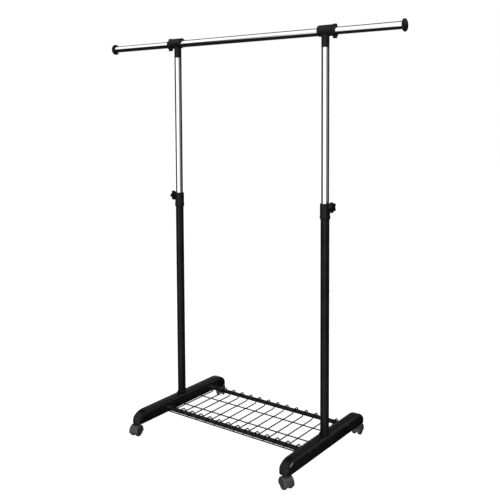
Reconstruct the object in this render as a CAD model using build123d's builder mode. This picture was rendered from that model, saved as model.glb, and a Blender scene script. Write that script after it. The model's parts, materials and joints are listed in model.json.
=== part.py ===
from build123d import *
import os
from math import cos, radians, sin

# A rolling garment rail. X runs along the hanging rail, Y from the front feet to the rear
# feet and Z up. The origin is on the floor, midway between the two posts. Millimetres.

# Stand
POST_SPAN = 600.0  # between the axes of the two posts
RAIL_Z = 1331.0  # axis of the hanging rail
LEG_W, LEG_HALF_LENGTH = 40.0, 238.0
LEG_BOTTOM, LEG_TOP = 41.0, 78.0
NOSE_LENGTH = 50.0  # how far back from its tip a leg's nose curves down
NOSE_FLAT = 1.0  # how much of the round end in plan the tip cuts off
LEG_WALL = 3.0
LEG_EDGE_R = 11.0
CASTER_Y = 225.0  # caster stems, front and rear of the posts
CROSSBAR_Y, CROSSBAR_Z = 117.0, 68.0

# Tubes, as outer radius and wall
CROSSBAR_R, CROSSBAR_WALL = 7.0, 0.8
LOWER_POST_R, LOWER_POST_WALL = 14.0, 1.2
UPPER_POST_R, UPPER_POST_WALL = 12.5, 1.2
RAIL_R, RAIL_WALL = 12.7, 0.8
EXTENSION_R, EXTENSION_WALL = 11.8, 0.8

# Post heights
SOCKET_FLOOR = 54.0  # a lower post stands on this floor inside its leg
LOWER_POST_TOP = 805.0
UPPER_POST_FOOT, UPPER_POST_TOP = 504.0, 1284.0
KNOB_Z = 797.0
HOLE_PITCH, HOLE_R = 71.0, 3.5  # height holes of an upper post
HOLES_BELOW, HOLES_ABOVE = 3, 6  # counted from the hole level with the knob

# Hanging rail
RAIL_HALF_LENGTH = 318.0
EXTENSION_LENGTH = 350.0
REACH = {"left": 312.0, "right": 256.0}  # from a post's axis to the end of its extension tube
END_CAP_R = 18.75

# Wire shelf
WIRE_R = 2.0
SHELF_FLOOR_Z = 65.0  # axes of the cross wires on the shelf floor
CROSS_WIRES, CROSS_WIRE_PITCH = 15, 39.0
FLOOR_WIRE_Y = 46.0  # lengthwise wires under the floor
EDGE_WIRE_Y, EDGE_WIRE_Z = 132.0, 65.0  # lengthwise wires outside the crossbars
LONG_WIRE_HALF_LENGTH = 276.0

# Casters
WHEEL_R, WHEEL_W = 18.0, 10.0
CASTER_TRAIL = 8.0  # from the stem's axis back to the axle
AXLE_R = 3.0
STEM_R = 4.0
CASTERS = {  # side, front or rear, and the turn of the axle from +X
    "front_left": (-1, -1, 10.0),
    "front_right": (1, -1, 65.0),
    "rear_left": (-1, 1, 38.0),
    "rear_right": (1, 1, 8.0),
}

SLACK = 0.05  # radial play of a running or pressed fit
SIDES = {"left": -1, "right": 1}
os.makedirs("parts", exist_ok=True)


def save(piece, name):
    piece.label = name
    export_step(piece, f"parts/{name}.step")


def post_x(side):
    return side * POST_SPAN / 2


def outward(side, reach, y=0.0, z=RAIL_Z):
    """Plane facing away from the middle, `reach` outside a post's axis."""
    return Plane((post_x(side) + side * reach, y, z), x_dir=(0, side, 0), z_dir=(side, 0, 0))


def bar(plane, length, radius, bore=0.0):
    """Round bar or tube that stands on a plane."""
    with BuildPart() as rod:
        with BuildSketch(plane):
            Circle(radius)
            if bore:
                Circle(bore, mode=Mode.SUBTRACT)
        extrude(amount=length)
    return rod.part


def group(pieces):
    """Separate solids kept together as one part."""
    return Part(Compound(children=list(pieces)).wrapped)


def turned(plane, outline):
    """Solid of revolution about a plane's normal, from (radius, height) corners."""
    section = Plane(plane.origin, x_dir=plane.x_dir, z_dir=-plane.y_dir)
    with BuildPart() as body:
        with BuildSketch(section):
            with BuildLine():
                Polyline(*outline, close=True)
            make_face()
        revolve(axis=Axis(plane.origin, plane.z_dir))
    return body.part


# Legs


def leg_blank(x, inset):
    """The outer form of a leg, or the same form set in by a wall."""
    half_length = LEG_HALF_LENGTH - inset
    width, height = LEG_W - 2 * inset, LEG_TOP - LEG_BOTTOM - inset
    nose = NOSE_LENGTH - inset
    with BuildPart() as blank:
        with BuildSketch(Plane.YZ.offset(x - width / 2)):
            with BuildLine():
                Line((-half_length, LEG_BOTTOM), (half_length, LEG_BOTTOM))
                EllipticalCenterArc(
                    (half_length - nose, LEG_BOTTOM), nose, height, start_angle=0, arc_size=90
                )
                Line((half_length - nose, LEG_BOTTOM + height), (nose - half_length, LEG_BOTTOM + height))
                EllipticalCenterArc(
                    (nose - half_length, LEG_BOTTOM), nose, height, start_angle=90, arc_size=90
                )
            make_face()
        extrude(amount=width)
        with BuildSketch(Plane.XY.offset(LEG_BOTTOM)):
            with Locations((x, 0)):
                RectangleRounded(width, 2 * (half_length + NOSE_FLAT), width / 2 - 0.5)
        extrude(amount=height, mode=Mode.INTERSECT)
        if not inset:
            fillet(blank.edges().filter_by(lambda edge: edge.center().Z > LEG_BOTTOM + 1), LEG_EDGE_R)
    return blank.part


BOSS_FLOOR = SOCKET_FLOOR - 4.0
STEM_TOP = 56.0  # the caster stems end here inside their bosses
CROSSBAR_GRIP = 14.0  # how far a crossbar reaches into a leg
BOLT_SEAT = 4.0  # depth of a crossbar bolt's counterbore


def leg_hollow(x):
    """The open underside of a leg, left solid where a post, a caster or a crossbar goes in."""
    with BuildPart() as hollow:
        add(leg_blank(x, LEG_WALL))
        with BuildSketch(Plane.XY.offset(BOSS_FLOOR)):
            with Locations((x, 0)):
                Circle(LEG_W / 2 - 0.2)
        extrude(amount=LEG_TOP - BOSS_FLOOR, mode=Mode.SUBTRACT)
        with BuildSketch(Plane.XY.offset(LEG_BOTTOM)):
            with Locations((x, -CASTER_Y), (x, CASTER_Y)):
                Circle(8.0)
        extrude(amount=LEG_TOP - LEG_BOTTOM, mode=Mode.SUBTRACT)
        with BuildSketch(Plane.XY.offset(CROSSBAR_Z - 11.0)):
            with Locations((x, -CROSSBAR_Y), (x, CROSSBAR_Y)):
                Rectangle(LEG_W, 20.0)
        extrude(amount=LEG_TOP - CROSSBAR_Z + 11.0, mode=Mode.SUBTRACT)
    return hollow.part


def leg(side):
    x = post_x(side)
    inner_face = -LEG_W / 2
    with BuildPart() as body:
        add(leg_blank(x, 0.0))
        add(leg_hollow(x), mode=Mode.SUBTRACT)
        with BuildSketch(Plane.XY.offset(LEG_TOP - 1.0)):  # rim around the post
            with Locations((x, 0)):
                Circle(LEG_W / 2 - 2.5)
        extrude(amount=3.0)
        with BuildSketch(Plane.XY.offset(SOCKET_FLOOR)):  # post socket and its bolt hole
            with Locations((x, 0)):
                Circle(LOWER_POST_R + SLACK)
        extrude(amount=LEG_TOP, mode=Mode.SUBTRACT)
        with BuildSketch(Plane.XY.offset(BOSS_FLOOR)):
            with Locations((x, 0)):
                Circle(4.3)
        extrude(amount=10.0, mode=Mode.SUBTRACT)
        with BuildSketch(Plane.XY.offset(LEG_BOTTOM)):  # caster stem holes
            with Locations((x, -CASTER_Y), (x, CASTER_Y)):
                Circle(STEM_R + 0.02)
        extrude(amount=STEM_TOP - LEG_BOTTOM + 1.0, mode=Mode.SUBTRACT)
        for y in (-CROSSBAR_Y, CROSSBAR_Y):  # crossbar seat, bolt hole and counterbore
            for start, radius, depth in (
                (inner_face, CROSSBAR_R + SLACK, CROSSBAR_GRIP),
                (inner_face, 2.7, LEG_W),
                (-inner_face - BOLT_SEAT, 5.5, BOLT_SEAT),
            ):
                with BuildSketch(outward(side, start, y, CROSSBAR_Z)):
                    Circle(radius)
                extrude(amount=depth, mode=Mode.SUBTRACT)
    return body.part


for name, side in SIDES.items():
    save(leg(side), f"{name}_leg")

# Crossbars, their threaded end plugs and their bolts

BAR_HALF_LENGTH = POST_SPAN / 2 - LEG_W / 2 + CROSSBAR_GRIP - 0.3
PLUG_LENGTH = 16.0
for name, y in (("front", -CROSSBAR_Y), ("rear", CROSSBAR_Y)):
    start = Plane((-BAR_HALF_LENGTH, y, CROSSBAR_Z), z_dir=(1, 0, 0))
    save(bar(start, 2 * BAR_HALF_LENGTH, CROSSBAR_R, CROSSBAR_R - CROSSBAR_WALL), f"{name}_crossbar")


def crossbar_bolt(side, y):
    """Button-head bolt with a hexagon socket, driven in from the outer face of a leg."""
    seat = LEG_W / 2 - BOLT_SEAT
    with BuildPart() as bolt:
        with BuildSketch(outward(side, seat, y, CROSSBAR_Z)):
            Circle(4.9)
        extrude(amount=3.2)
        fillet(bolt.edges().group_by(Axis.X)[-1 if side > 0 else 0], 1.8)
        with BuildSketch(outward(side, seat + 1.2, y, CROSSBAR_Z)):
            RegularPolygon(1.8, 6)
        extrude(amount=4.0, mode=Mode.SUBTRACT)
        with BuildSketch(outward(side, seat, y, CROSSBAR_Z)):
            Circle(2.5)
        extrude(amount=-30.0)
    return bolt.part


corners = [(side, y) for side in SIDES.values() for y in (-CROSSBAR_Y, CROSSBAR_Y)]
bar_end = BAR_HALF_LENGTH - POST_SPAN / 2
save(
    group(
        bar(outward(side, bar_end - PLUG_LENGTH, y, CROSSBAR_Z), PLUG_LENGTH,
            CROSSBAR_R - CROSSBAR_WALL - 0.02, 2.5 + SLACK)
        for side, y in corners
    ),
    "crossbar_plugs",
)
save(group(crossbar_bolt(side, y) for side, y in corners), "crossbar_bolts")

# Lower posts, with the threaded insert and the bolt that hold each one in its leg

INSERT_LENGTH = 18.0
WASHER_T = 1.6
for name, side in SIDES.items():
    with BuildPart() as lower_post:
        add(bar(Plane((post_x(side), 0, SOCKET_FLOOR)), LOWER_POST_TOP - SOCKET_FLOOR,
                LOWER_POST_R, LOWER_POST_R - LOWER_POST_WALL))
        with BuildSketch(outward(side, 0, z=KNOB_Z)):
            Circle(4.3)
        extrude(amount=LOWER_POST_R + 1, mode=Mode.SUBTRACT)
    save(lower_post.part, f"{name}_lower_post")


def post_bolt(x):
    """Hexagon-head bolt, screwed up into a lower post from under its leg."""
    head = BOSS_FLOOR - WASHER_T - 5.3
    with BuildPart() as bolt:
        with BuildSketch(Plane.XY.offset(head)):
            with Locations((x, 0)):
                RegularPolygon(6.5, 6, major_radius=False)
        extrude(amount=5.3)
        chamfer(bolt.edges().group_by(Axis.Z)[0], 0.6)
        with BuildSketch(Plane.XY.offset(head)):
            with Locations((x, 0)):
                Circle(4.0)
        extrude(amount=5.3 + WASHER_T + 20.0)
    return bolt.part


post_axes = [post_x(side) for side in SIDES.values()]
save(
    group(bar(Plane((x, 0, SOCKET_FLOOR)), INSERT_LENGTH,
              LOWER_POST_R - LOWER_POST_WALL - SLACK, 4.0 + SLACK) for x in post_axes),
    "post_inserts",
)
save(group(bar(Plane((x, 0, BOSS_FLOOR - WASHER_T)), WASHER_T, 8.0, 4.2) for x in post_axes), "post_washers")
save(group(post_bolt(x) for x in post_axes), "post_bolts")

# Collars on the lower posts, with the threaded bush and the star knob of each

COLLAR_FOOT, COLLAR_TOP = 758.0, 808.0
COLLAR_R, COLLAR_FLARE_R = 16.0, 16.8
BOSS_END = 18.5  # outer end of the collar's knob boss, from the post's axis
STUD_R, STUD_TIP_R = 4.0, 2.8
STUD_TIP = UPPER_POST_R + 0.3  # the tip stops just outside the upper post
KNOB_FACE, KNOB_T = 20.8, 10.0
KNOB_LOBES = 5


def collar(side):
    bore = LOWER_POST_R + SLACK
    lip = LOWER_POST_R - LOWER_POST_WALL + 0.1
    height = COLLAR_TOP - COLLAR_FOOT
    with BuildPart() as body:
        add(turned(Plane((post_x(side), 0, COLLAR_FOOT)), [
            (bore, 0), (COLLAR_R - 1.2, 0), (COLLAR_FLARE_R, 4.5), (COLLAR_FLARE_R, 7.5), (COLLAR_R, 14),
            (COLLAR_R, height - 2), (COLLAR_R - 1.2, height), (lip, height),
            (lip, LOWER_POST_TOP - COLLAR_FOOT + 0.1), (bore, LOWER_POST_TOP - COLLAR_FOOT + 0.1)]))
        with BuildSketch(outward(side, LOWER_POST_R + 0.5, z=KNOB_Z)):
            Circle(7.6)
        extrude(amount=BOSS_END - LOWER_POST_R - 0.5)
        with BuildSketch(outward(side, 0, z=KNOB_Z)):
            Circle(5.6)
        extrude(amount=BOSS_END, mode=Mode.SUBTRACT)
    return body.part


def knob_stud(side):
    return turned(outward(side, STUD_TIP, z=KNOB_Z), [
        (0, 0), (STUD_TIP_R - 0.5, 0), (STUD_TIP_R, 0.5), (STUD_TIP_R, 3.0), (STUD_R, 3.6),
        (STUD_R, KNOB_FACE + 8.0 - STUD_TIP), (0, KNOB_FACE + 8.0 - STUD_TIP)])


def knob(side):
    """Star knob with five lobes, one of them pointing to the front."""
    with BuildPart() as head:
        with BuildSketch(outward(side, KNOB_FACE, z=KNOB_Z)):
            Circle(12.6)
            with PolarLocations(12.2, KNOB_LOBES, start_angle=90 + 90 * side):
                Circle(5.0)
        extrude(amount=KNOB_T)
        fillet(head.edges().group_by(Axis.X)[-1 if side > 0 else 0], 2.0)
        fillet(head.edges().group_by(Axis.X)[0 if side > 0 else -1], 1.0)
        with BuildSketch(outward(side, KNOB_FACE, z=KNOB_Z)):
            Circle(STUD_R + 0.01)
        extrude(amount=8.0, mode=Mode.SUBTRACT)
    return head.part


save(
    group(
        bar(outward(side, LOWER_POST_R + 0.1, z=KNOB_Z), BOSS_END - LOWER_POST_R - 0.1, 5.58, STUD_R + SLACK)
        for side in SIDES.values()
    ),
    "collar_bushes",
)
for name, side in SIDES.items():
    save(collar(side), f"{name}_collar")
    save(knob_stud(side), f"{name}_knob_stud")
    save(knob(side), f"{name}_knob")

# Upper posts, with the guide plug in the foot of each

GUIDE_R = LOWER_POST_R - LOWER_POST_WALL - 0.08
SCREW_Z = 1268.0
for name, side in SIDES.items():
    with BuildPart() as upper_post:
        add(bar(Plane((post_x(side), 0, UPPER_POST_FOOT)), UPPER_POST_TOP - UPPER_POST_FOOT,
                UPPER_POST_R, UPPER_POST_R - UPPER_POST_WALL))
        for step in range(-HOLES_BELOW, HOLES_ABOVE + 1):
            with BuildSketch(outward(side, 0, z=KNOB_Z + step * HOLE_PITCH)):
                Circle(HOLE_R)
            extrude(amount=UPPER_POST_R + 1, mode=Mode.SUBTRACT)
        with BuildSketch(Plane((post_x(side), 0, SCREW_Z), z_dir=(0, 1, 0))):
            Circle(2.1)
        extrude(amount=UPPER_POST_R + 1, mode=Mode.SUBTRACT)
    save(upper_post.part, f"{name}_upper_post")
    plug_r = UPPER_POST_R - UPPER_POST_WALL - SLACK
    save(
        turned(Plane((post_x(side), 0, UPPER_POST_FOOT - 4.0)), [
            (8, 0), (GUIDE_R - 1, 0), (GUIDE_R, 1), (GUIDE_R, 4), (plug_r, 4), (plug_r, 20), (8, 20)]),
        f"{name}_post_guide",
    )

# Tee connectors, with the screws that hold them in the upper posts

TEE_INNER, TEE_OUTER, NOSE_END = -22.0, 28.0, 32.6  # along the rail, from the post's axis
TEE_R, TEE_RISE, NOSE_R = 17.4, 3.2, 14.2  # the tee's body is raised above the rail's axis
RAIL_STOP = RAIL_HALF_LENGTH - POST_SPAN / 2 + 0.3  # end of the rail's seat in a tee
SPIGOT_FOOT = 1252.0


def tee(side):
    x = post_x(side)
    with BuildPart() as body:
        add(bar(outward(side, TEE_INNER, z=RAIL_Z + TEE_RISE), TEE_OUTER - TEE_INNER, TEE_R))
        add(bar(Plane((x, 0, UPPER_POST_TOP)), RAIL_Z - UPPER_POST_TOP, UPPER_POST_R))
        joint_line = body.edges().filter_by(
            lambda edge: UPPER_POST_TOP + 10 < edge.center().Z < RAIL_Z - 2
            and edge.geom_type != GeomType.CIRCLE)
        fillet(joint_line, 2.5)
        fillet(body.edges().filter_by(GeomType.CIRCLE).filter_by(
            lambda edge: abs(edge.radius - TEE_R) < 0.01), 1.0)
        add(bar(outward(side, TEE_OUTER), NOSE_END - TEE_OUTER, NOSE_R))
        add(bar(Plane((x, 0, SPIGOT_FOOT)), UPPER_POST_TOP - SPIGOT_FOOT,
                UPPER_POST_R - UPPER_POST_WALL - SLACK))
        add(bar(Plane((x, 0, SPIGOT_FOOT)), 58.0, 8.5), mode=Mode.SUBTRACT)
        add(bar(outward(side, TEE_INNER), RAIL_STOP - TEE_INNER, RAIL_R + SLACK), mode=Mode.SUBTRACT)
        add(bar(outward(side, TEE_INNER), NOSE_END - TEE_INNER, EXTENSION_R + 0.3), mode=Mode.SUBTRACT)
        add(bar(Plane((x, 0, SCREW_Z), z_dir=(0, 1, 0)), UPPER_POST_R, 2.02), mode=Mode.SUBTRACT)
    return body.part


def tee_screw(side):
    """Pan-head screw through the rear of an upper post into the tee's spigot."""
    return turned(Plane((post_x(side), 8.6, SCREW_Z), z_dir=(0, 1, 0)), [
        (0, 0), (2.0, 0), (2.0, UPPER_POST_R + 0.15 - 8.6), (3.8, UPPER_POST_R + 0.15 - 8.6),
        (3.8, UPPER_POST_R + 1.4 - 8.6), (2.6, UPPER_POST_R + 2.2 - 8.6), (0, UPPER_POST_R + 2.2 - 8.6)])


for name, side in SIDES.items():
    save(tee(side), f"{name}_tee")
save(group(tee_screw(side) for side in SIDES.values()), "tee_screws")

# Twist rings on the tees, with the split grip collet inside each

RING_START, RING_END, RING_SEAT = 28.4, 38.4, 36.4
RING_R, WING_R, WING_W = 17.0, 21.8, 13.0


def twist_ring(side):
    with BuildPart() as ring:
        with BuildSketch(outward(side, RING_START)):
            Circle(RING_R)
            with Locations((0, WING_R / 2), (0, -WING_R / 2)):
                RectangleRounded(WING_W, WING_R, 4.0)
        extrude(amount=RING_END - RING_START)
        fillet(ring.edges().group_by(Axis.X)[0], 1.5)
        fillet(ring.edges().group_by(Axis.X)[-1], 1.5)
        with BuildSketch(outward(side, RING_START)):
            Circle(NOSE_R + 0.3)
        extrude(amount=RING_SEAT - RING_START, mode=Mode.SUBTRACT)
        with BuildSketch(outward(side, RING_START)):
            Circle(EXTENSION_R + 0.4)
        extrude(amount=RING_END - RING_START, mode=Mode.SUBTRACT)
    return ring.part


def grip_collet(side):
    with BuildPart() as collet:
        with BuildSketch(outward(side, NOSE_END + 0.1)):
            Circle(NOSE_R)
            Circle(EXTENSION_R + 0.3, mode=Mode.SUBTRACT)
            with Locations((0, -NOSE_R)):
                Rectangle(1.6, 8.0, mode=Mode.SUBTRACT)
        extrude(amount=RING_SEAT - NOSE_END - 0.4)
    return collet.part


for name, side in SIDES.items():
    save(twist_ring(side), f"{name}_twist_ring")
    save(grip_collet(side), f"{name}_grip_collet")

# Hanging rail and the two extension tubes that slide in it

rail_start = Plane((-RAIL_HALF_LENGTH, 0, RAIL_Z), z_dir=(1, 0, 0))
save(bar(rail_start, 2 * RAIL_HALF_LENGTH, RAIL_R, RAIL_R - RAIL_WALL), "centre_rail")
GUIDE_FLANGE = 3.0
extension_bore = EXTENSION_R - EXTENSION_WALL
for name, side in SIDES.items():
    tube_end = REACH[name] - EXTENSION_LENGTH
    save(bar(outward(side, tube_end), EXTENSION_LENGTH, EXTENSION_R, extension_bore),
         f"{name}_extension_tube")
    guide_r, plug_r = RAIL_R - RAIL_WALL - SLACK, extension_bore - SLACK
    save(
        turned(outward(side, tube_end - GUIDE_FLANGE), [
            (7, 0), (guide_r - 0.8, 0), (guide_r, 0.8), (guide_r, GUIDE_FLANGE),
            (plug_r, GUIDE_FLANGE), (plug_r, 16), (7, 16)]),
        f"{name}_extension_guide",
    )
    with BuildPart() as end_cap:
        with BuildSketch(Plane(outward(side, REACH[name]).origin, x_dir=(side, 0, 0), z_dir=(0, -side, 0))):
            with BuildLine():
                Polyline((0, 0), (-18, 0), (-18, plug_r - 1), (-17, plug_r), (0, plug_r),
                         (0, END_CAP_R - 0.8), (0.8, END_CAP_R), (3.0, END_CAP_R))
                Spline((3.0, END_CAP_R), (5.6, END_CAP_R - 4.5), (7.5, 0), tangents=((1, 0), (0, -1)))
                Line((7.5, 0), (0, 0))
            make_face()
        revolve(axis=Axis(outward(side, REACH[name]).origin, (1, 0, 0)))
    save(end_cap.part, f"{name}_end_cap")

# Wire shelf, whose cross wires arch over the two crossbars

ARCH_Z = CROSSBAR_Z + CROSSBAR_R + 0.3 + WIRE_R  # axis of a wire where it lies over a crossbar
half_wire = [(EDGE_WIRE_Y, EDGE_WIRE_Z + WIRE_R), (CROSSBAR_Y + 9.0, ARCH_Z),
             (CROSSBAR_Y - 10.0, ARCH_Z), (CROSSBAR_Y - 21.0, SHELF_FLOOR_Z)]
wire_corners = [(-y, z) for y, z in half_wire] + half_wire[::-1]
with BuildPart() as cross_wire:
    with BuildLine(Plane.YZ):
        FilletPolyline(*wire_corners, radius=7.0)
    first, second = wire_corners[:2]
    start = Plane((0, *first), z_dir=(0, second[0] - first[0], second[1] - first[1]))
    with BuildSketch(start):
        Circle(WIRE_R)
    sweep()
with BuildPart() as wire_shelf:
    with GridLocations(CROSS_WIRE_PITCH, 1, CROSS_WIRES, 1):
        add(cross_wire.part)
    for y, z in ((FLOOR_WIRE_Y, SHELF_FLOOR_Z - 2 * WIRE_R + 0.4), (EDGE_WIRE_Y, EDGE_WIRE_Z)):
        for end in (-y, y):
            start = Plane((-LONG_WIRE_HALF_LENGTH, end, z), z_dir=(1, 0, 0))
            add(bar(start, 2 * LONG_WIRE_HALF_LENGTH, WIRE_R))
save(wire_shelf.part, "wire_shelf")

# Casters: a fixed stem, a hood that swivels on it, and two wheels on one axle

WEB_HALF = 5.0  # half the web between the wheels
HOOD_R, HOOD_WALL, HOOD_CORNER = 20.8, 1.6, 5.0
HOOD_HALF = WEB_HALF + 0.3 + WHEEL_W + 0.5 + HOOD_WALL
HOOD_TOP = LEG_BOTTOM - 1.6
FLANGE_FOOT = HOOD_TOP + 0.2


def caster_frame(side, end, turn):
    """Plane at the middle of the axle: X along the axle, Y up and Z the way that it rolls."""
    axle = Vector(cos(radians(turn)), sin(radians(turn)), 0)
    roll = axle.cross(Vector(0, 0, 1))
    centre = Vector(post_x(side), end * CASTER_Y, WHEEL_R) + roll * CASTER_TRAIL
    return Plane(centre, x_dir=axle, z_dir=roll)


def about_axle(frame, outline, corner):
    """Solid of revolution about the axle, with its outer corners rounded."""
    with BuildPart() as body:
        with BuildSketch(frame) as section:
            with BuildLine():
                Polyline(*outline, close=True)
            make_face()
            top = max(height for _, height in outline)
            outer_corners = section.vertices().filter_by(
                lambda vertex: abs(frame.to_local_coords(vertex).Y - top) < 0.01)
            fillet(outer_corners, corner)
        revolve(axis=Axis(frame.origin, frame.x_dir))
    return body.part


def caster_hood(frame, stem_x, stem_y):
    cavity_top, cavity_end = HOOD_R - HOOD_WALL, HOOD_HALF - HOOD_WALL
    with BuildPart() as hood:
        add(about_axle(frame, [(-HOOD_HALF, 0), (-HOOD_HALF, HOOD_R), (HOOD_HALF, HOOD_R), (HOOD_HALF, 0)],
                       HOOD_CORNER))
        for near, far in ((WEB_HALF, cavity_end), (-cavity_end, -WEB_HALF)):
            add(about_axle(frame, [(near, 0), (near, cavity_top), (far, cavity_top), (far, 0)],
                           HOOD_CORNER - HOOD_WALL),
                mode=Mode.SUBTRACT)
        with BuildSketch(Plane.XY.offset(WHEEL_R - 5.0)):
            with Locations((frame.origin.X, frame.origin.Y)):
                Circle(60.0)
        extrude(amount=-60.0, mode=Mode.SUBTRACT)
        add(bar(Plane(frame.origin - frame.x_dir * WEB_HALF, z_dir=frame.x_dir), 2 * WEB_HALF, 8.5))
        cap_foot = WHEEL_R + cavity_top + 0.05
        with BuildSketch(Plane.XY.offset(cap_foot)):
            with Locations((stem_x, stem_y)):
                Circle(9.0)
        extrude(amount=HOOD_TOP - cap_foot)
        with BuildSketch(Plane.XY.offset(25.0)):
            with Locations((stem_x, stem_y)):
                Circle(STEM_R + SLACK)
        extrude(amount=HOOD_TOP - 25.0, mode=Mode.SUBTRACT)
        axle_bore = Plane(frame.origin - frame.x_dir * WEB_HALF, z_dir=frame.x_dir)
        add(bar(axle_bore, 2 * WEB_HALF, AXLE_R + 0.01), mode=Mode.SUBTRACT)
    return hood.part


def caster_wheel(frame, hand):
    """Wheel on one side of the web, with a dished outer face and a blind bore."""
    plane = Plane(frame.origin + frame.x_dir * hand * (WEB_HALF + 0.3), z_dir=frame.x_dir * hand)
    bore = AXLE_R + SLACK
    return turned(plane, [
        (bore, 0), (7, 0), (7, 1.2), (14.5, 1.2), (14.5, 0), (16.6, 0), (WHEEL_R, 1.4),
        (WHEEL_R, WHEEL_W - 2.4), (16.4, WHEEL_W - 0.4), (14.6, WHEEL_W - 0.4), (13.4, WHEEL_W - 2.2),
        (6.5, WHEEL_W - 2.2), (5.5, WHEEL_W), (0, WHEEL_W), (0, WHEEL_W - 0.8), (bore, WHEEL_W - 0.8)])


for name, (side, end, turn) in CASTERS.items():
    frame = caster_frame(side, end, turn)
    stem_x, stem_y = post_x(side), end * CASTER_Y
    save(
        turned(Plane((stem_x, stem_y, 26.0)), [
            (0, 0), (STEM_R, 0), (STEM_R, FLANGE_FOOT - 26.0), (8, FLANGE_FOOT - 26.0), (8, LEG_BOTTOM - 26.0),
            (STEM_R, LEG_BOTTOM - 26.0), (STEM_R, STEM_TOP - 27.0), (STEM_R - 1, STEM_TOP - 26.0),
            (0, STEM_TOP - 26.0)]),
        f"{name}_caster_stem",
    )
    save(caster_hood(frame, stem_x, stem_y), f"{name}_caster_hood")
    axle_half = WEB_HALF + 0.3 + WHEEL_W - 1.2
    save(bar(Plane(frame.origin - frame.x_dir * axle_half, z_dir=frame.x_dir), 2 * axle_half, AXLE_R),
         f"{name}_caster_axle")
    save(caster_wheel(frame, -1), f"{name}_caster_wheel_a")
    save(caster_wheel(frame, 1), f"{name}_caster_wheel_b")
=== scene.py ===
import json
from math import cos, radians, sin

import bpy
from mathutils import Matrix, Vector

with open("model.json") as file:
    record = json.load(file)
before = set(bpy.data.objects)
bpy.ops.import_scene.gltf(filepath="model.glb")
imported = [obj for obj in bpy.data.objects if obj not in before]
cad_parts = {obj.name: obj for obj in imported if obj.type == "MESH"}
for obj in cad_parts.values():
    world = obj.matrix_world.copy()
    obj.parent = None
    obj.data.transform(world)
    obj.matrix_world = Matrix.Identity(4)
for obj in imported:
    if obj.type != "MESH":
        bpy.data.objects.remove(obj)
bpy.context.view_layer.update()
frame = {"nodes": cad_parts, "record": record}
scene = bpy.context.scene
nodes = frame["nodes"]

# Camera: to the right of the rail, 2.4 m from its middle and 1.07 m up, looking a little down.
# Angles are in degrees, lengths of the lens and the sensor in millimetres.
CAMERA_PLACE = Vector((1.42484, -1.91127, 1.07188))
CAMERA_AZIMUTH, CAMERA_PITCH, CAMERA_ROLL = 36.444, 4.0, -0.29
FOCAL_LENGTH, SENSOR = 51.876, 36.0
SHIFT_Y = -0.16344


def make_camera():
    azimuth, pitch, roll = (radians(v) for v in (CAMERA_AZIMUTH, CAMERA_PITCH, CAMERA_ROLL))
    level = Vector((-sin(azimuth), cos(azimuth), 0))
    up = Vector((0, 0, 1))
    forward = level * cos(pitch) - up * sin(pitch)
    camera_up = up * cos(pitch) + level * sin(pitch)
    right = Vector((cos(azimuth), sin(azimuth), 0))
    x_axis = right * cos(roll) + camera_up * sin(roll)
    y_axis = camera_up * cos(roll) - right * sin(roll)
    data = bpy.data.cameras.new("camera")
    data.lens, data.sensor_width, data.shift_y = FOCAL_LENGTH, SENSOR, SHIFT_Y
    camera = bpy.data.objects.new("camera", data)
    scene.collection.objects.link(camera)
    rotation = Matrix((x_axis, y_axis, -forward)).transposed()
    camera.matrix_world = Matrix.Translation(CAMERA_PLACE) @ rotation.to_4x4()
    scene.camera = camera


make_camera()


# Materials


class Tree:
    """A small builder for node trees: it adds nodes, sets inputs and links in one call."""

    def __init__(self, tree):
        self.tree = tree

    def node(self, kind, inputs=None, **settings):
        made = self.tree.nodes.new(kind)
        for key, value in settings.items():
            setattr(made, key, value)
        for key, value in (inputs or {}).items():
            socket = made.inputs[key]
            if isinstance(value, bpy.types.NodeSocket):
                self.tree.links.new(value, socket)
            else:
                socket.default_value = value
        return made

    def noise(self, vector, scale, detail=3.0, roughness=0.5):
        """Noise of so many grains to the metre."""
        made = self.node("ShaderNodeTexNoise", {"Vector": vector, "Scale": scale, "Detail": detail,
                                                 "Roughness": roughness})
        return made.outputs["Fac"]

    def math(self, operation, a, b=0.0, c=0.0, clamp=False):
        made = self.node("ShaderNodeMath", {0: a, 1: b, 2: c}, operation=operation, use_clamp=clamp)
        return made.outputs[0]

    def spread(self, value, low, high, to_low=0.0, to_high=1.0, smooth=False):
        """The range low to high of value, spread out over to_low to to_high."""
        made = self.node("ShaderNodeMapRange", {"Value": value, "From Min": low, "From Max": high,
                                                 "To Min": to_low, "To Max": to_high})
        if smooth:
            made.interpolation_type = "SMOOTHSTEP"
        return made.outputs["Result"]

    def mix(self, factor, a, b):
        made = self.node("ShaderNodeMix", data_type="RGBA")
        for socket, value in ((made.inputs[0], factor), (made.inputs[6], a), (made.inputs[7], b)):
            if isinstance(value, bpy.types.NodeSocket):
                self.tree.links.new(value, socket)
            else:
                socket.default_value = value if socket is made.inputs[0] else (*value, 1.0)
        return made.outputs[2]

    def stretched(self, vector, scale):
        """A place scaled differently along each axis, so that noise on it runs in lines."""
        return self.node("ShaderNodeVectorMath", {0: vector, 1: scale}, operation="MULTIPLY").outputs[0]

    def feed(self, shader, socket, value):
        """Links a value to the named socket of the shader."""
        self.tree.links.new(value, shader.inputs[socket])

    def bump(self, height, strength, distance, normal=None):
        """A normal bent by height, over a relief of distance metres."""
        inputs = {"Height": height, "Strength": strength, "Distance": distance}
        if normal is not None:
            inputs["Normal"] = normal
        return self.node("ShaderNodeBump", inputs).outputs[0]


def new_material(name):
    material = bpy.data.materials.new(name)
    material.use_nodes = True
    material.node_tree.nodes.clear()
    tree = Tree(material.node_tree)
    shader = tree.node("ShaderNodeBsdfPrincipled")
    output = tree.node("ShaderNodeOutputMaterial")
    tree.tree.links.new(shader.outputs[0], output.inputs[0])
    place = tree.node("ShaderNodeTexCoord").outputs["Object"]
    return material, tree, shader, place


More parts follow.
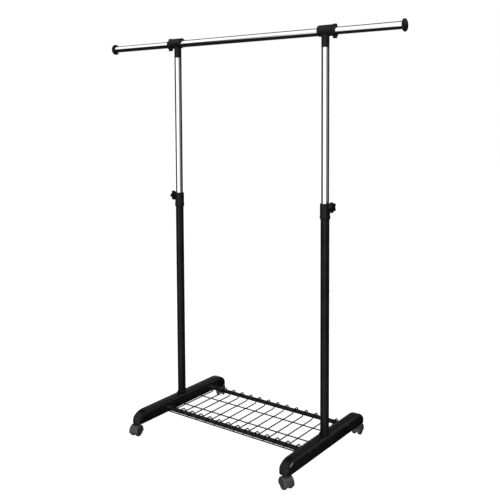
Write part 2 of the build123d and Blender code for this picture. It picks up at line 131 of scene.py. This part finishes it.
def edge_mask(tree, radius):
    """1 along sharp edges and 0 on the flats, from how far a bevelled normal leans away."""
    bevel = tree.node("ShaderNodeBevel", {"Radius": radius}, samples=4).outputs[0]
    plain = tree.node("ShaderNodeNewGeometry").outputs["Normal"]
    lean = tree.node("ShaderNodeVectorMath", {0: bevel, 1: plain}, operation="DOT_PRODUCT").outputs["Value"]
    return tree.spread(lean, 0.985, 0.86)


def moulded_plastic(name, colour, rough, grain=1300.0, grain_depth=0.00004, specular=0.5, wear=0.35):
    """Moulded plastic: fine grain, cloudy gloss, worn edges and a few handling scuffs."""
    material, tree, shader, place = new_material(name)
    cloud = tree.noise(place, scale=14.0, detail=4.0)
    scuff_lines = tree.noise(tree.stretched(place, (260.0, 60.0, 900.0)), scale=1.0, detail=2.0)
    scuff_spots = tree.noise(place, scale=33.0, detail=5.0, roughness=0.6)
    scuffs = tree.math("MULTIPLY", tree.spread(scuff_lines, 0.58, 0.72),
                       tree.spread(scuff_spots, 0.52, 0.72))
    broken = tree.spread(tree.noise(place, scale=120.0), 0.35, 0.75)
    worn = tree.math("MULTIPLY", edge_mask(tree, 0.0007), broken)
    light = tuple(min(1.0, c * 1.35 + 0.001) for c in colour)
    dark = tuple(c * 0.72 for c in colour)
    rubbed = tuple(min(1.0, c * 2.4 + 0.012) for c in colour)
    base = tree.mix(tree.spread(cloud, 0.35, 0.68), dark, light)
    marks = tree.math("MAXIMUM", tree.math("MULTIPLY", worn, wear), tree.math("MULTIPLY", scuffs, 0.5))
    base = tree.mix(marks, base, rubbed)
    tree.feed(shader, "Base Color", base)
    gloss = tree.spread(cloud, 0.3, 0.7, rough - 0.05, rough + 0.06)
    gloss = tree.math("ADD", gloss, tree.math("MULTIPLY", scuffs, 0.18))
    tree.feed(shader, "Roughness", gloss)
    shader.inputs["Specular IOR Level"].default_value = specular
    grain_height = tree.noise(place, scale=grain, detail=2.0, roughness=0.6)
    ripple = tree.noise(place, scale=55.0, detail=1.0)
    normal = tree.bump(ripple, strength=0.25, distance=0.0006)
    tree.feed(shader, "Normal", tree.bump(grain_height, 0.55, grain_depth, normal))
    return material


RUBBED_PAINT = (0.05, 0.05, 0.052)
PAINT_SPECULAR = 0.14


def powder_coat(name, colour, rough, peel=620.0, peel_depth=0.00007):
    """Baked powder coat on steel: orange peel, soft gloss and rubbed spots."""
    material, tree, shader, place = new_material(name)
    cloud = tree.noise(place, scale=11.0, detail=3.0)
    handled = tree.noise(tree.stretched(place, (90.0, 90.0, 30.0)), scale=1.0, detail=5.0, roughness=0.65)
    rubs = tree.spread(handled, 0.6, 0.78)
    broken = tree.spread(tree.noise(place, scale=160.0), 0.4, 0.75)
    worn = tree.math("MULTIPLY", edge_mask(tree, 0.0004), broken)
    light = tuple(c * 1.3 + 0.001 for c in colour)
    dark = tuple(c * 0.75 for c in colour)
    base = tree.mix(tree.spread(cloud, 0.35, 0.68), dark, light)
    base = tree.mix(tree.math("MULTIPLY", worn, 0.3), base, RUBBED_PAINT)
    tree.feed(shader, "Base Color", base)
    gloss = tree.math("SUBTRACT", tree.spread(cloud, 0.3, 0.7, rough - 0.03, rough + 0.05),
                      tree.math("MULTIPLY", rubs, 0.07))
    tree.feed(shader, "Roughness", gloss)
    shader.inputs["Specular IOR Level"].default_value = PAINT_SPECULAR
    orange_peel = tree.noise(place, scale=peel, detail=1.5, roughness=0.45)
    tree.feed(shader, "Normal", tree.bump(orange_peel, strength=0.5, distance=peel_depth))
    return material


CLEAN_CHROME, SMUDGED_CHROME, DRAWN_CHROME = (0.88, 0.885, 0.89), (0.80, 0.805, 0.815), (0.70, 0.71, 0.725)
CLEAN_ROUGHNESS, SMUDGED_ROUGHNESS = 0.035, 0.1


def chrome(name, along):
    """Chromed tube: drawing lines along it, faint waviness, and smudges from hangers and hands."""
    material, tree, shader, place = new_material(name)
    lines = tuple(2.0 if axis == along else 1500.0 for axis in "XYZ")
    waves = tuple(5.0 if axis == along else 60.0 for axis in "XYZ")
    rings = tuple(900.0 if axis == along else 14.0 for axis in "XYZ")
    draw = tree.noise(tree.stretched(place, lines), scale=1.0, detail=3.0, roughness=0.6)
    wave = tree.noise(tree.stretched(place, waves), scale=1.0, detail=1.0)
    smudge = tree.noise(place, scale=26.0, detail=5.0, roughness=0.62)
    scratches = tree.noise(tree.stretched(place, rings), scale=1.0, detail=2.0)
    scratch = tree.math("MULTIPLY", tree.spread(scratches, 0.66, 0.8), tree.spread(smudge, 0.5, 0.7))
    tint = tree.mix(tree.spread(smudge, 0.3, 0.75), CLEAN_CHROME, SMUDGED_CHROME)
    tint = tree.mix(tree.math("MULTIPLY", tree.spread(draw, 0.35, 0.8), 0.25), tint, DRAWN_CHROME)
    tree.feed(shader, "Base Color", tint)
    shader.inputs["Metallic"].default_value = 1.0
    gloss = tree.math("ADD", tree.spread(smudge, 0.38, 0.72, CLEAN_ROUGHNESS, SMUDGED_ROUGHNESS),
                      tree.math("MULTIPLY", scratch, 0.05))
    tree.feed(shader, "Roughness", gloss)
    normal = tree.bump(wave, strength=0.12, distance=0.0004)
    tree.feed(shader, "Normal", tree.bump(draw, 0.1, 0.00001, normal))
    return material


def plated(name, colour, rough, tarnish, metallic=1.0):
    """Plated or turned hardware: streaks from turning and a little tarnish."""
    material, tree, shader, place = new_material(name)
    fine = tree.noise(place, scale=1900.0, detail=2.0, roughness=0.6)
    cloud = tree.noise(place, scale=90.0, detail=4.0, roughness=0.6)
    base = tree.mix(tree.spread(cloud, 0.45, 0.7), colour, tarnish)
    worn = tuple(min(1.0, c * 1.2) for c in colour)
    base = tree.mix(tree.math("MULTIPLY", edge_mask(tree, 0.0004), 0.6), base, worn)
    tree.feed(shader, "Base Color", base)
    shader.inputs["Metallic"].default_value = metallic
    tree.feed(shader, "Roughness", tree.spread(cloud, 0.3, 0.7, rough - 0.06, rough + 0.12))
    tree.feed(shader, "Normal", tree.bump(fine, strength=0.3, distance=0.00002))
    return material


# Colours are linear. The tubes and feet are a dead black, the casters a little greyer.
BLACK = (0.0013, 0.0013, 0.0014)
MATERIALS = {
    "black_plastic": moulded_plastic("black_moulded_plastic", BLACK, 0.4, specular=0.18),
    "grey_plastic": moulded_plastic("grey_collet_plastic", (0.11, 0.11, 0.115), 0.4),
    "caster_plastic": moulded_plastic("caster_hood_plastic", (0.012, 0.012, 0.0125), 0.33, specular=0.5),
    "wheel_plastic": moulded_plastic("caster_wheel_plastic", (0.009, 0.009, 0.0093), 0.46,
                                     grain=800.0, wear=0.8),
    "black_paint": powder_coat("black_powder_coat", BLACK, 0.36),
    "black_wire": powder_coat("black_wire_coat", BLACK, 0.42, peel=900.0, peel_depth=0.00005),
    "zinc_steel": plated("zinc_plated_steel", (0.55, 0.56, 0.58), 0.34, tarnish=(0.40, 0.39, 0.37)),
    "black_steel": plated("black_oxide_steel", (0.02, 0.02, 0.021), 0.38, tarnish=(0.03, 0.026, 0.022),
                          metallic=0.6),
    "brass": plated("turned_brass", (0.66, 0.48, 0.22), 0.28, tarnish=(0.42, 0.29, 0.14)),
}
CHROME_UPRIGHT, CHROME_LEVEL = chrome("chrome_upright_tube", "Z"), chrome("chrome_level_tube", "X")


def dress_nodes():
    slots = {part["node"]: part["material_slot"] for part in frame["record"]["subparts"]}
    for name, node in nodes.items():
        slot = slots[name]
        if slot == "chrome":
            material = CHROME_UPRIGHT if name.endswith("upper_post") else CHROME_LEVEL
        else:
            material = MATERIALS[slot]
        node.data.materials.clear()
        node.data.materials.append(material)


dress_nodes()


# Floor and light

FLOOR_SIZE = 30.0
FLOOR_TONES = (0.24, 0.26)
FLOOR_GLOW = 0.8


def make_floor():
    """A pale floor that glows a little of its own, so that next to no shadow lies on it."""
    mesh = bpy.data.meshes.new("floor")
    half = FLOOR_SIZE / 2
    corners = [(-half, -half, 0), (half, -half, 0), (half, half, 0), (-half, half, 0)]
    mesh.from_pydata(corners, [], [(0, 1, 2, 3)])
    floor = bpy.data.objects.new("floor", mesh)
    scene.collection.objects.link(floor)
    material, tree, shader, place = new_material("pale_floor")
    mottle = tree.noise(place, scale=6.0, detail=4.0)
    darker, lighter = ((tone, tone, tone) for tone in FLOOR_TONES)
    tree.feed(shader, "Base Color", tree.mix(mottle, darker, lighter))
    shader.inputs["Emission Color"].default_value = (1, 1, 1, 1)
    shader.inputs["Emission Strength"].default_value = FLOOR_GLOW
    shader.inputs["Roughness"].default_value = 0.9
    shader.inputs["Specular IOR Level"].default_value = 0.1
    mesh.materials.append(material)
    floor.visible_glossy = False


# What gloss sees all round: dark walls, and softboxes given by azimuth (0 looks from the front),
# elevation, reach and edge softness in degrees, and level.
WALL_LEVEL = 0.012
SOFTBOXES = (
    (12.0, 2.0, 46.0, 8.0, 1.3),
    (88.0, 2.0, 26.0, 6.0, 0.2),
    (-40.0, 46.0, 37.0, 7.0, 1.3),
    (225.0, -8.0, 24.0, 5.0, 1.0),
    (140.0, 45.0, 32.0, 8.0, 1.1),
)
BACKDROP_LEVEL, SOFT_LIGHT_LEVEL = 1.0, 1.1


def softbox(tree, way, azimuth, elevation, reach, edge, level):
    """Level inside a round patch of the sky, 0 outside it, and smooth across its edge."""
    a, e = radians(azimuth), radians(elevation)
    toward = (sin(a) * cos(e), -cos(a) * cos(e), sin(e))
    lean = tree.node("ShaderNodeVectorMath", {0: way, 1: toward}, operation="DOT_PRODUCT").outputs["Value"]
    outer, inner = cos(radians(reach + edge)), cos(radians(reach - edge))
    return tree.spread(lean, outer, inner, 0.0, level, smooth=True)


def make_world():
    """White all round for the eye and for soft light. Gloss sees the walls and softboxes instead."""
    world = bpy.data.worlds.new("studio")
    scene.world = world
    world.use_nodes = True
    world.node_tree.nodes.clear()
    tree = Tree(world.node_tree)
    way = tree.node("ShaderNodeTexCoord").outputs["Generated"]
    total = WALL_LEVEL
    for box in SOFTBOXES:
        total = tree.math("MAXIMUM", softbox(tree, way, *box), total)
    path = tree.node("ShaderNodeLightPath")
    glossy = tree.node("ShaderNodeBackground", {"Color": total, "Strength": 1.0})
    seen_by_eye = path.outputs["Is Camera Ray"]
    strength = tree.spread(seen_by_eye, 0.0, 1.0, SOFT_LIGHT_LEVEL, BACKDROP_LEVEL)
    plain = tree.node("ShaderNodeBackground", {"Color": (1, 1, 1, 1), "Strength": strength})
    seen = tree.node("ShaderNodeMixShader", {0: path.outputs["Is Glossy Ray"], 1: plain.outputs[0],
                                             2: glossy.outputs[0]})
    output = tree.node("ShaderNodeOutputWorld")
    tree.tree.links.new(seen.outputs[0], output.inputs[0])


KEY_PLACE, KEY_TARGET = Vector((1.6, -2.6, 0.85)), Vector((0, 0, 0.3))
KEY_SIZE, KEY_ENERGY = 1.3, 230.0


def make_key_light():
    """One lamp from the front right. Gloss doesn't see it, so it leaves no dots on the chrome."""
    data = bpy.data.lights.new("key_light", "AREA")
    data.shape, data.size, data.size_y, data.energy = "RECTANGLE", KEY_SIZE, KEY_SIZE, KEY_ENERGY
    light = bpy.data.objects.new("key_light", data)
    scene.collection.objects.link(light)
    light.location = KEY_PLACE
    light.rotation_euler = (KEY_TARGET - KEY_PLACE).to_track_quat("-Z", "Y").to_euler()
    light.visible_glossy = False


make_floor()
make_world()
make_key_light()
scene.view_settings.view_transform = "Standard"
